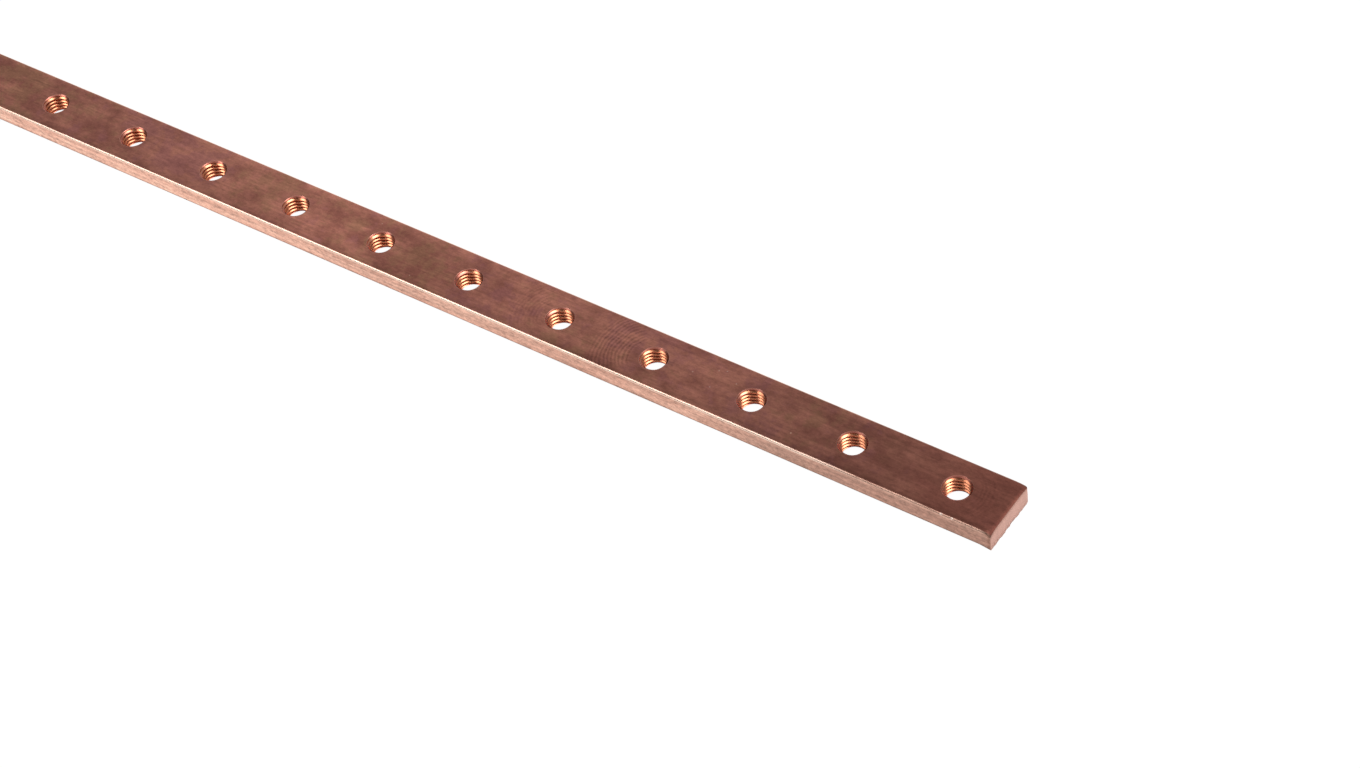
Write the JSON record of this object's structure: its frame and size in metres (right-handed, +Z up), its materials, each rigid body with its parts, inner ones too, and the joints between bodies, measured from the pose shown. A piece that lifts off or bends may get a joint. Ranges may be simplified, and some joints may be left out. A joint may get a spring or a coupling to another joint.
{
  "type": "tapped copper busbar",
  "caption": "Flat bare copper bar with rounded long edges and one evenly spaced row of tapped holes through it, for cable lugs and screws.",
  "frame": {"origin": "centre of the underside, at the middle of the bar's length and width", "axes": "+X along the bar, +Y across its width, +Z up through its thickness and along the holes"},
  "size_m": [1, 0.015, 0.005],
  "materials": {
    "copper": "bare drawn copper, slightly tarnished"
  },
  "bodies": {
    "root": {"busbar": "copper"}
  },
  "joints": []
}
